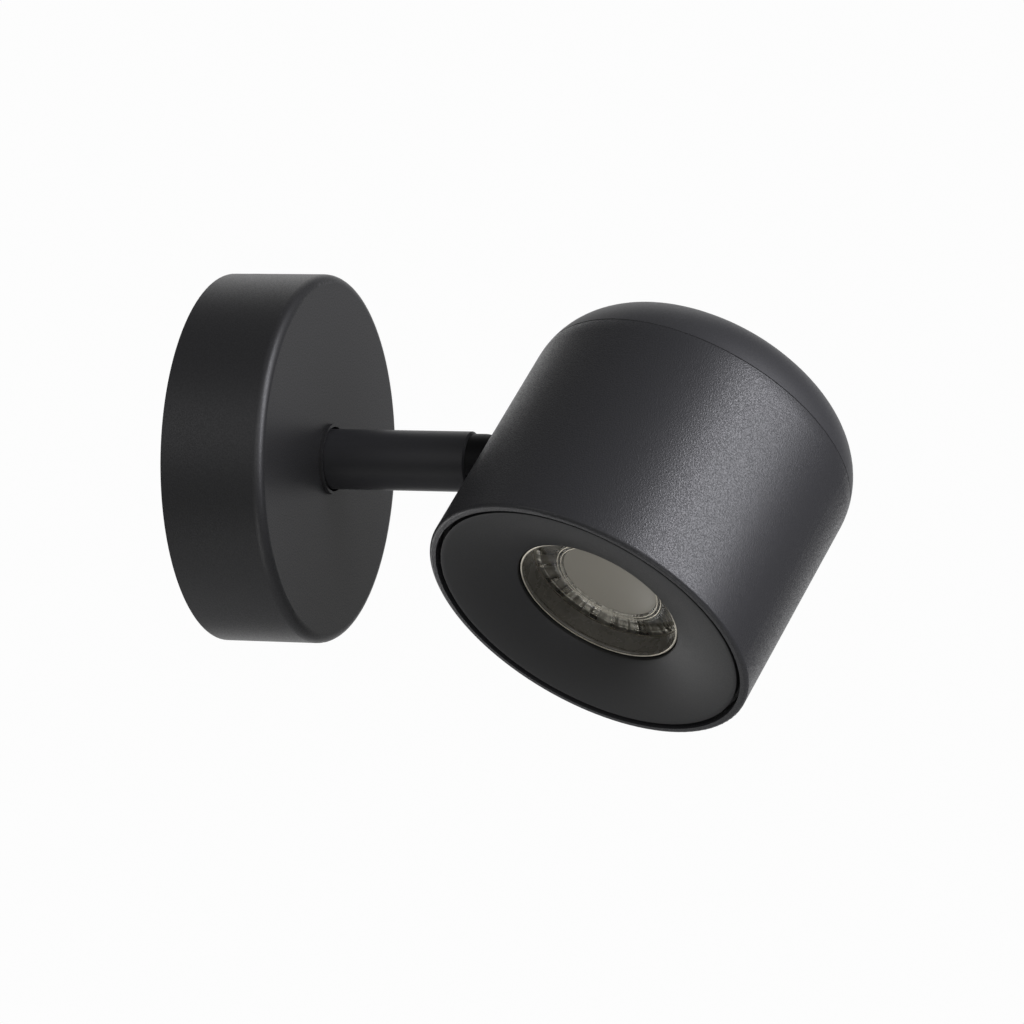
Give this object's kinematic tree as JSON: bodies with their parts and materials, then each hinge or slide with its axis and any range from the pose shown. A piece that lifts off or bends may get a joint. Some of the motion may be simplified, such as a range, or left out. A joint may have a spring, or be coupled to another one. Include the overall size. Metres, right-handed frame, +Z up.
{
  "type": "wall spotlight",
  "caption": "Wall spotlight: a round canopy carries a short arm that turns, and a domed lamp head tips on the knuckle at the arm's end.",
  "frame": {"origin": "centre of the wall bracket's back face, in the plane of the wall", "axes": "+Y into the wall, -Y out into the room, +Z up, +X to the right seen from the room"},
  "size_m": [0.117, 0.1699, 0.1178],
  "materials": {
    "canopy_powder_coat": "anthracite powder coat, fine texture",
    "arm_satin_black": "satin black lacquer on turned tube",
    "knuckle_black": "matt black anodised",
    "head_powder_coat": "anthracite powder coat, fine texture, on die-cast aluminium",
    "dome_powder_coat": "anthracite powder coat on pressed aluminium",
    "baffle_matt_black": "matt black anti-glare finish",
    "bezel_black_gloss": "dark glossy well with a bright metallised rim",
    "lens_clear": "clear moulded optic with a frosted centre",
    "led_phosphor": "LED on a white ceramic board",
    "holder_white": "white moulded plastic",
    "thermal_film": "grey thermal film",
    "sink_aluminium": "plain die-cast aluminium",
    "bracket_zinc": "zinc plated sheet",
    "fastener_steel": "zinc plated",
    "bearing_metal": "die-cast, machined bore",
    "nylon_washers": "black nylon",
    "terminal_plastic": "white moulded plastic",
    "terminal_brass": "plain brass",
    "driver_plastic": "pale grey moulded plastic",
    "grommet_rubber": "black rubber"
  },
  "bodies": {
    "wall": {"canopy": "canopy_powder_coat", "wall_bracket": "bracket_zinc", "cable_grommet": "grommet_rubber", "canopy_grub_screws": "fastener_steel", "bearing_block": "bearing_metal", "stop_pin": "fastener_steel", "stud_nuts": "fastener_steel", "terminal_block": "terminal_plastic", "terminal_screws": "terminal_brass", "terminal_fixings": "fastener_steel", "led_driver": "driver_plastic", "driver_screws": "fastener_steel", "earth_washer": "fastener_steel", "earth_screw": "terminal_brass"},
    "arm": {"arm_tube": "arm_satin_black", "thrust_washer": "nylon_washers", "friction_washer": "nylon_washers", "stop_washer": "fastener_steel", "arm_nut": "fastener_steel", "knuckle_fork": "knuckle_black", "pivot_screw": "fastener_steel", "knuckle_pads": "nylon_washers"},
    "head": {"head_tongue": "knuckle_black", "stem_saddle": "bearing_metal", "stem_nut": "fastener_steel", "head_housing": "head_powder_coat", "dome_cap": "dome_powder_coat", "front_baffle": "baffle_matt_black", "lens_bezel": "bezel_black_gloss", "tir_lens": "lens_clear", "led_cob": "led_phosphor", "thermal_pad": "thermal_film", "cob_holder": "holder_white", "cob_screws": "fastener_steel", "bezel_screws": "fastener_steel", "heat_sink": "sink_aluminium", "sink_screws": "fastener_steel"}
  },
  "joints": [
    {"name": "swivel", "type": "hinge", "parent": "wall", "child": "arm", "pos_m": [0, -0.022, 0], "axis": [0, 1, 0], "range_deg": [-211.9, 128.1]},
    {"name": "tilt", "type": "hinge", "parent": "arm", "child": "head", "pos_m": [0, -0.0725, 0], "axis": [0.7443, 0, -0.6678], "range_deg": [-74.1, 45.9]}
  ]
}
